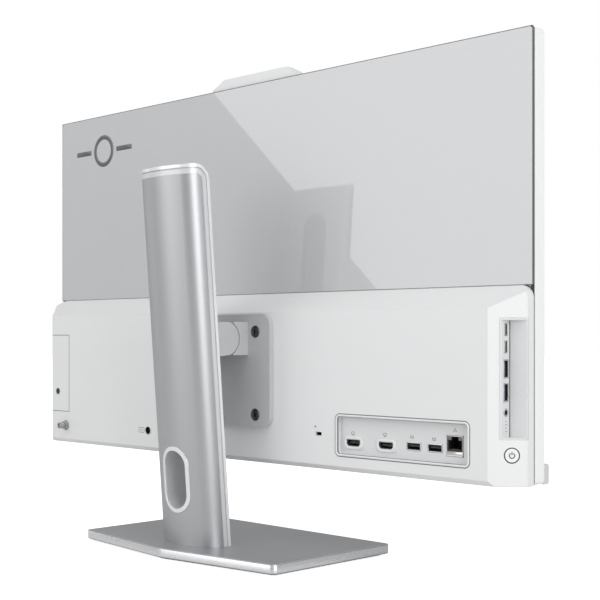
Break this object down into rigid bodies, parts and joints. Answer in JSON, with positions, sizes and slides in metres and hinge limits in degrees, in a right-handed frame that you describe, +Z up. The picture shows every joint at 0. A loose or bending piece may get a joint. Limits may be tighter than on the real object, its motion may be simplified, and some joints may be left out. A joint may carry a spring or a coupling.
{
  "type": "all-in-one computer",
  "caption": "Desktop computer built into its screen, seen from behind: white rear housing with connector recess, on a leaning height-adjustable column with a cable hole.",
  "frame": {"origin": "centre of the base plate's footprint line on the desk, under the column's front", "axes": "+Z up, -Y towards the user in front of the screen, +Y the rear with the connectors, +X along the screen's width"},
  "size_m": [0.612, 0.1679, 0.4445],
  "materials": {
    "white_cover": "fine moulded texture",
    "gloss_panel": "polished",
    "emblem_metal": "polished",
    "frame_metal": "satin",
    "chin_plastic": "satin",
    "screen_glass": "polished",
    "display_layers": "smooth",
    "inner_aluminium": "plain sheet",
    "inner_steel": "plain sheet",
    "dark_plastic": "satin",
    "lens_glass": "polished",
    "socket_steel": "bright",
    "grey_plastic": "fine moulded texture",
    "nickel": "plated",
    "button_plastic": "satin",
    "board_green": "solder mask",
    "copper": "plain",
    "zinc_screw": "dark zinc",
    "stand_metal": "satin anodised",
    "hinge_metal": "fine texture paint",
    "stand_plastic": "satin silver",
    "base_metal": "satin painted",
    "spring_steel": "bright strip",
    "bush_plastic": "smooth",
    "pad_rubber": "matt"
  },
  "bodies": {
    "stand": {"base_plate": "base_metal", "base_pad": "pad_rubber", "column_foot": "inner_steel", "column_screws": "zinc_screw", "column_rear_shell": "stand_metal", "column_top_cap": "stand_plastic", "column_side_trim": "stand_plastic", "column_front_cover": "stand_metal", "cable_tunnel": "stand_plastic", "cable_hole_ring": "stand_plastic", "guide_rods": "inner_steel", "rod_bracket": "inner_steel", "spring_strips": "spring_steel"},
    "lift": {"lift_carriage": "inner_aluminium", "guide_bushes": "bush_plastic", "lift_arm": "hinge_metal", "tilt_pin": "inner_steel", "friction_washers": "bush_plastic"},
    "lift_springs": {"lift_springs": "spring_steel"},
    "webcam": {"webcam_housing": "white_cover", "webcam_lens": "lens_glass"},
    "drive_tray": {"drive_tray": "white_cover", "drive": "inner_aluminium", "drive_bay_screw": "zinc_screw"},
    "power_button": {"power_button": "button_plastic"},
    "fan_rotor": {"fan_rotor": "dark_plastic"},
    "head": {"rear_cover": "white_cover", "side_io_liner": "white_cover", "upper_rear_panel": "gloss_panel", "panel_emblem": "emblem_metal", "side_frame": "frame_metal", "chin_bar": "chin_plastic", "display_glass": "screen_glass", "backlight_stack": "display_layers", "display_tray": "inner_aluminium", "main_chassis": "inner_steel", "video_sockets": "socket_steel", "rear_usb_sockets": "socket_steel", "rear_io_tray": "grey_plastic", "lan_socket": "dark_plastic", "side_usb_c_sockets": "socket_steel", "side_usb_a_sockets": "socket_steel", "audio_socket": "dark_plastic", "dc_inlet": "dark_plastic", "antenna_socket": "nickel", "antenna_nut": "nickel", "lock_slot_plate": "inner_steel", "drive_cage": "inner_steel", "mainboard": "board_green", "memory_modules": "board_green", "ssd_card": "board_green", "wireless_card": "board_green", "speakers": "dark_plastic", "processor_plate": "copper", "heat_pipe": "copper", "heatsink_fins": "inner_aluminium", "fan_housing": "dark_plastic", "mounting_plate": "hinge_metal", "mounting_screws": "zinc_screw", "hinge_block": "hinge_metal"}
  },
  "joints": [
    {"name": "height_slide", "type": "slide", "parent": "stand", "child": "lift", "axis": [0, 0.0802, 0.9968], "range_m": [-0.05, 0.08], "stiffness_N_per_m": 30, "springref_m": 2.06, "deforming": ["spring_strips"]},
    {"name": "spring_roll", "type": "hinge", "parent": "lift", "child": "lift_springs", "pos_m": [0, 0.05923, 0.21724], "axis": [1, 0, 0], "range_deg": [-560, 360]},
    {"name": "head_tilt", "type": "hinge", "parent": "lift", "child": "head", "pos_m": [0, 0.027, 0.194], "axis": [-1, 0, 0], "range_deg": [-5, 20]},
    {"name": "webcam_slide", "type": "slide", "parent": "head", "child": "webcam", "axis": [0, 0, 1], "range_m": [-0.0105, 0]},
    {"name": "drive_tray_slide", "type": "slide", "parent": "head", "child": "drive_tray", "axis": [1, 0, 0], "range_m": [0, 0.11]},
    {"name": "power_button_press", "type": "slide", "parent": "head", "child": "power_button", "axis": [0.7071, -0.7071, 0], "range_m": [0, 0.0008], "stiffness_N_per_m": 300, "springref_m": -0.001},
    {"name": "fan_spin", "type": "hinge", "parent": "head", "child": "fan_rotor", "pos_m": [0.1, -0.0255, 0.165], "axis": [0, 1, 0], "continuous": true}
  ],
  "couplings": [
    {"joint": "spring_roll", "follows": "height_slide", "rad_per_m": -117}
  ]
}
